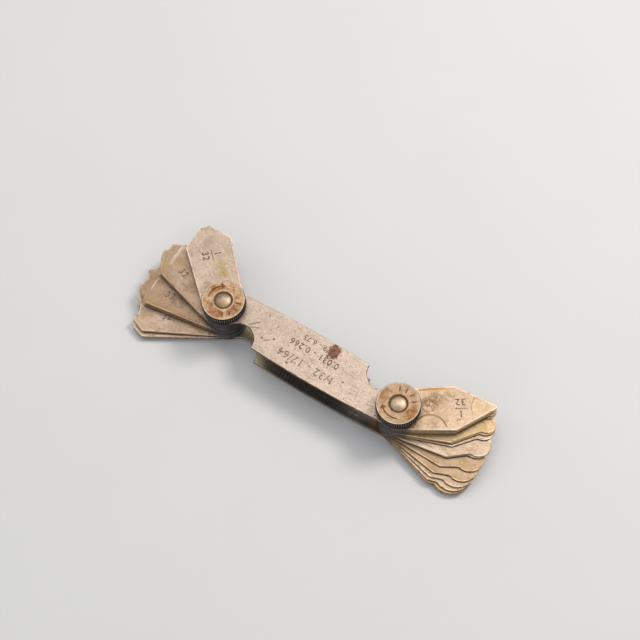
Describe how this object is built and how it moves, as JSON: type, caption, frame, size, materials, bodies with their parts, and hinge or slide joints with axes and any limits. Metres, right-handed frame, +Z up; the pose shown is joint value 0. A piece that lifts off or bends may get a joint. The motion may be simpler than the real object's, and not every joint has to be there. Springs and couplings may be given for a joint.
{
  "type": "radius gauge set",
  "caption": "Radius gauge set: steel leaves with rounded or hollowed tips of graded radius, pivoted at both ends of a slim two-plate holder and clamped by knurled lock nuts.",
  "frame": {"origin": "centre of the bottom plate's underside, midway between the two pivots, which is also the surface the holder lies on", "axes": "+X runs along the holder from the concave end's pivot to the convex end's pivot, +Z up through the leaf stack towards the lock nuts, +Y towards the side on which the thumb notch is beside the convex end's pivot"},
  "size_m": [0.1273, 0.0421, 0.017],
  "materials": {
    "plate_steel": "satin ground steel, stained and lightly rusted at the edges",
    "leaf_steel": "satin rolled steel with rust at the edges",
    "stud_steel": "bright turned steel, polished dome",
    "nut_steel": "darkened steel with a bright worn rim and straight knurl"
  },
  "bodies": {
    "holder": {"bottom_plate": "plate_steel", "top_plate": "plate_steel", "concave_end_stud": "stud_steel", "convex_end_stud": "stud_steel"},
    "concave_end_lock_nut": {"concave_end_lock_nut": "nut_steel"},
    "concave_leaf_1_32": {"concave_leaf_1_32": "leaf_steel"},
    "concave_leaf_3_64": {"concave_leaf_3_64": "leaf_steel"},
    "concave_leaf_1_16": {"concave_leaf_1_16": "leaf_steel"},
    "concave_leaf_5_64": {"concave_leaf_5_64": "leaf_steel"},
    "concave_leaf_3_32": {"concave_leaf_3_32": "leaf_steel"},
    "concave_leaf_7_64": {"concave_leaf_7_64": "leaf_steel"},
    "concave_leaf_1_8": {"concave_leaf_1_8": "leaf_steel"},
    "concave_leaf_9_64": {"concave_leaf_9_64": "leaf_steel"},
    "concave_leaf_5_32": {"concave_leaf_5_32": "leaf_steel"},
    "concave_leaf_11_64": {"concave_leaf_11_64": "leaf_steel"},
    "concave_leaf_3_16": {"concave_leaf_3_16": "leaf_steel"},
    "concave_leaf_13_64": {"concave_leaf_13_64": "leaf_steel"},
    "concave_leaf_7_32": {"concave_leaf_7_32": "leaf_steel"},
    "concave_leaf_15_64": {"concave_leaf_15_64": "leaf_steel"},
    "concave_leaf_1_4": {"concave_leaf_1_4": "leaf_steel"},
    "concave_leaf_17_64": {"concave_leaf_17_64": "leaf_steel"},
    "convex_end_lock_nut": {"convex_end_lock_nut": "nut_steel"},
    "convex_leaf_1_32": {"convex_leaf_1_32": "leaf_steel"},
    "convex_leaf_3_64": {"convex_leaf_3_64": "leaf_steel"},
    "convex_leaf_1_16": {"convex_leaf_1_16": "leaf_steel"},
    "convex_leaf_5_64": {"convex_leaf_5_64": "leaf_steel"},
    "convex_leaf_3_32": {"convex_leaf_3_32": "leaf_steel"},
    "convex_leaf_7_64": {"convex_leaf_7_64": "leaf_steel"},
    "convex_leaf_1_8": {"convex_leaf_1_8": "leaf_steel"},
    "convex_leaf_9_64": {"convex_leaf_9_64": "leaf_steel"},
    "convex_leaf_5_32": {"convex_leaf_5_32": "leaf_steel"},
    "convex_leaf_11_64": {"convex_leaf_11_64": "leaf_steel"},
    "convex_leaf_3_16": {"convex_leaf_3_16": "leaf_steel"},
    "convex_leaf_13_64": {"convex_leaf_13_64": "leaf_steel"},
    "convex_leaf_7_32": {"convex_leaf_7_32": "leaf_steel"},
    "convex_leaf_15_64": {"convex_leaf_15_64": "leaf_steel"},
    "convex_leaf_1_4": {"convex_leaf_1_4": "leaf_steel"},
    "convex_leaf_17_64": {"convex_leaf_17_64": "leaf_steel"}
  },
  "joints": [
    {"name": "concave_end_lock_nut_turn", "type": "hinge", "parent": "holder", "child": "concave_end_lock_nut", "pos_m": [-0.033, 0, 0.0147], "axis": [0, 0, 1], "range_deg": [0, 360]},
    {"name": "concave_leaf_1_32_pivot", "type": "hinge", "parent": "holder", "child": "concave_leaf_1_32", "pos_m": [-0.033, 0, 0.01125], "axis": [0, 0, 1], "range_deg": [-137.3, 132.7]},
    {"name": "concave_leaf_3_64_pivot", "type": "hinge", "parent": "holder", "child": "concave_leaf_3_64", "pos_m": [-0.033, 0, 0.01059], "axis": [0, 0, 1], "range_deg": [-137.6, 132.4]},
    {"name": "concave_leaf_1_16_pivot", "type": "hinge", "parent": "holder", "child": "concave_leaf_1_16", "pos_m": [-0.033, 0, 0.00993], "axis": [0, 0, 1], "range_deg": [-137.9, 132.1]},
    {"name": "concave_leaf_5_64_pivot", "type": "hinge", "parent": "holder", "child": "concave_leaf_5_64", "pos_m": [-0.033, 0, 0.00927], "axis": [0, 0, 1], "range_deg": [-138.2, 131.8]},
    {"name": "concave_leaf_3_32_pivot", "type": "hinge", "parent": "holder", "child": "concave_leaf_3_32", "pos_m": [-0.033, 0, 0.00861], "axis": [0, 0, 1], "range_deg": [-163.2, 106.8]},
    {"name": "concave_leaf_7_64_pivot", "type": "hinge", "parent": "holder", "child": "concave_leaf_7_64", "pos_m": [-0.033, 0, 0.00795], "axis": [0, 0, 1], "range_deg": [-163.5, 106.5]},
    {"name": "concave_leaf_1_8_pivot", "type": "hinge", "parent": "holder", "child": "concave_leaf_1_8", "pos_m": [-0.033, 0, 0.00729], "axis": [0, 0, 1], "range_deg": [-163.8, 106.2]},
    {"name": "concave_leaf_9_64_pivot", "type": "hinge", "parent": "holder", "child": "concave_leaf_9_64", "pos_m": [-0.033, 0, 0.00663], "axis": [0, 0, 1], "range_deg": [-164.1, 105.9]},
    {"name": "concave_leaf_5_32_pivot", "type": "hinge", "parent": "holder", "child": "concave_leaf_5_32", "pos_m": [-0.033, 0, 0.00597], "axis": [0, 0, 1], "range_deg": [-187, 83]},
    {"name": "concave_leaf_11_64_pivot", "type": "hinge", "parent": "holder", "child": "concave_leaf_11_64", "pos_m": [-0.033, 0, 0.00531], "axis": [0, 0, 1], "range_deg": [-187.3, 82.7]},
    {"name": "concave_leaf_3_16_pivot", "type": "hinge", "parent": "holder", "child": "concave_leaf_3_16", "pos_m": [-0.033, 0, 0.00465], "axis": [0, 0, 1], "range_deg": [-187.6, 82.4]},
    {"name": "concave_leaf_13_64_pivot", "type": "hinge", "parent": "holder", "child": "concave_leaf_13_64", "pos_m": [-0.033, 0, 0.00399], "axis": [0, 0, 1], "range_deg": [-187.9, 82.1]},
    {"name": "concave_leaf_7_32_pivot", "type": "hinge", "parent": "holder", "child": "concave_leaf_7_32", "pos_m": [-0.033, 0, 0.00333], "axis": [0, 0, 1], "range_deg": [-206, 64]},
    {"name": "concave_leaf_15_64_pivot", "type": "hinge", "parent": "holder", "child": "concave_leaf_15_64", "pos_m": [-0.033, 0, 0.00267], "axis": [0, 0, 1], "range_deg": [-206.3, 63.7]},
    {"name": "concave_leaf_1_4_pivot", "type": "hinge", "parent": "holder", "child": "concave_leaf_1_4", "pos_m": [-0.033, 0, 0.00201], "axis": [0, 0, 1], "range_deg": [-209.1, 60.9]},
    {"name": "concave_leaf_17_64_pivot", "type": "hinge", "parent": "holder", "child": "concave_leaf_17_64", "pos_m": [-0.033, 0, 0.00135], "axis": [0, 0, 1], "range_deg": [-209.3, 60.7]},
    {"name": "convex_end_lock_nut_turn", "type": "hinge", "parent": "holder", "child": "convex_end_lock_nut", "pos_m": [0.033, 0, 0.0147], "axis": [0, 0, 1], "range_deg": [0, 360]},
    {"name": "convex_leaf_1_32_pivot", "type": "hinge", "parent": "holder", "child": "convex_leaf_1_32", "pos_m": [0.033, 0, 0.01125], "axis": [0, 0, 1], "range_deg": [-214.4, 55.6]},
    {"name": "convex_leaf_3_64_pivot", "type": "hinge", "parent": "holder", "child": "convex_leaf_3_64", "pos_m": [0.033, 0, 0.01059], "axis": [0, 0, 1], "range_deg": [-214.2, 55.8]},
    {"name": "convex_leaf_1_16_pivot", "type": "hinge", "parent": "holder", "child": "convex_leaf_1_16", "pos_m": [0.033, 0, 0.00993], "axis": [0, 0, 1], "range_deg": [-214, 56]},
    {"name": "convex_leaf_5_64_pivot", "type": "hinge", "parent": "holder", "child": "convex_leaf_5_64", "pos_m": [0.033, 0, 0.00927], "axis": [0, 0, 1], "range_deg": [-213.8, 56.2]},
    {"name": "convex_leaf_3_32_pivot", "type": "hinge", "parent": "holder", "child": "convex_leaf_3_32", "pos_m": [0.033, 0, 0.00861], "axis": [0, 0, 1], "range_deg": [-213.6, 56.4]},
    {"name": "convex_leaf_7_64_pivot", "type": "hinge", "parent": "holder", "child": "convex_leaf_7_64", "pos_m": [0.033, 0, 0.00795], "axis": [0, 0, 1], "range_deg": [-205, 65]},
    {"name": "convex_leaf_1_8_pivot", "type": "hinge", "parent": "holder", "child": "convex_leaf_1_8", "pos_m": [0.033, 0, 0.00729], "axis": [0, 0, 1], "range_deg": [-204.6, 65.4]},
    {"name": "convex_leaf_9_64_pivot", "type": "hinge", "parent": "holder", "child": "convex_leaf_9_64", "pos_m": [0.033, 0, 0.00663], "axis": [0, 0, 1], "range_deg": [-202.4, 67.6]},
    {"name": "convex_leaf_5_32_pivot", "type": "hinge", "parent": "holder", "child": "convex_leaf_5_32", "pos_m": [0.033, 0, 0.00597], "axis": [0, 0, 1], "range_deg": [-191.7, 78.3]},
    {"name": "convex_leaf_11_64_pivot", "type": "hinge", "parent": "holder", "child": "convex_leaf_11_64", "pos_m": [0.033, 0, 0.00531], "axis": [0, 0, 1], "range_deg": [-191.4, 78.6]},
    {"name": "convex_leaf_3_16_pivot", "type": "hinge", "parent": "holder", "child": "convex_leaf_3_16", "pos_m": [0.033, 0, 0.00465], "axis": [0, 0, 1], "range_deg": [-181.8, 88.2]},
    {"name": "convex_leaf_13_64_pivot", "type": "hinge", "parent": "holder", "child": "convex_leaf_13_64", "pos_m": [0.033, 0, 0.00399], "axis": [0, 0, 1], "range_deg": [-174, 96]},
    {"name": "convex_leaf_7_32_pivot", "type": "hinge", "parent": "holder", "child": "convex_leaf_7_32", "pos_m": [0.033, 0, 0.00333], "axis": [0, 0, 1], "range_deg": [-169.7, 100.3]},
    {"name": "convex_leaf_15_64_pivot", "type": "hinge", "parent": "holder", "child": "convex_leaf_15_64", "pos_m": [0.033, 0, 0.00267], "axis": [0, 0, 1], "range_deg": [-166.6, 103.4]},
    {"name": "convex_leaf_1_4_pivot", "type": "hinge", "parent": "holder", "child": "convex_leaf_1_4", "pos_m": [0.033, 0, 0.00201], "axis": [0, 0, 1], "range_deg": [-165.4, 104.6]},
    {"name": "convex_leaf_17_64_pivot", "type": "hinge", "parent": "holder", "child": "convex_leaf_17_64", "pos_m": [0.033, 0, 0.00135], "axis": [0, 0, 1], "range_deg": [-165.7, 104.3]}
  ]
}
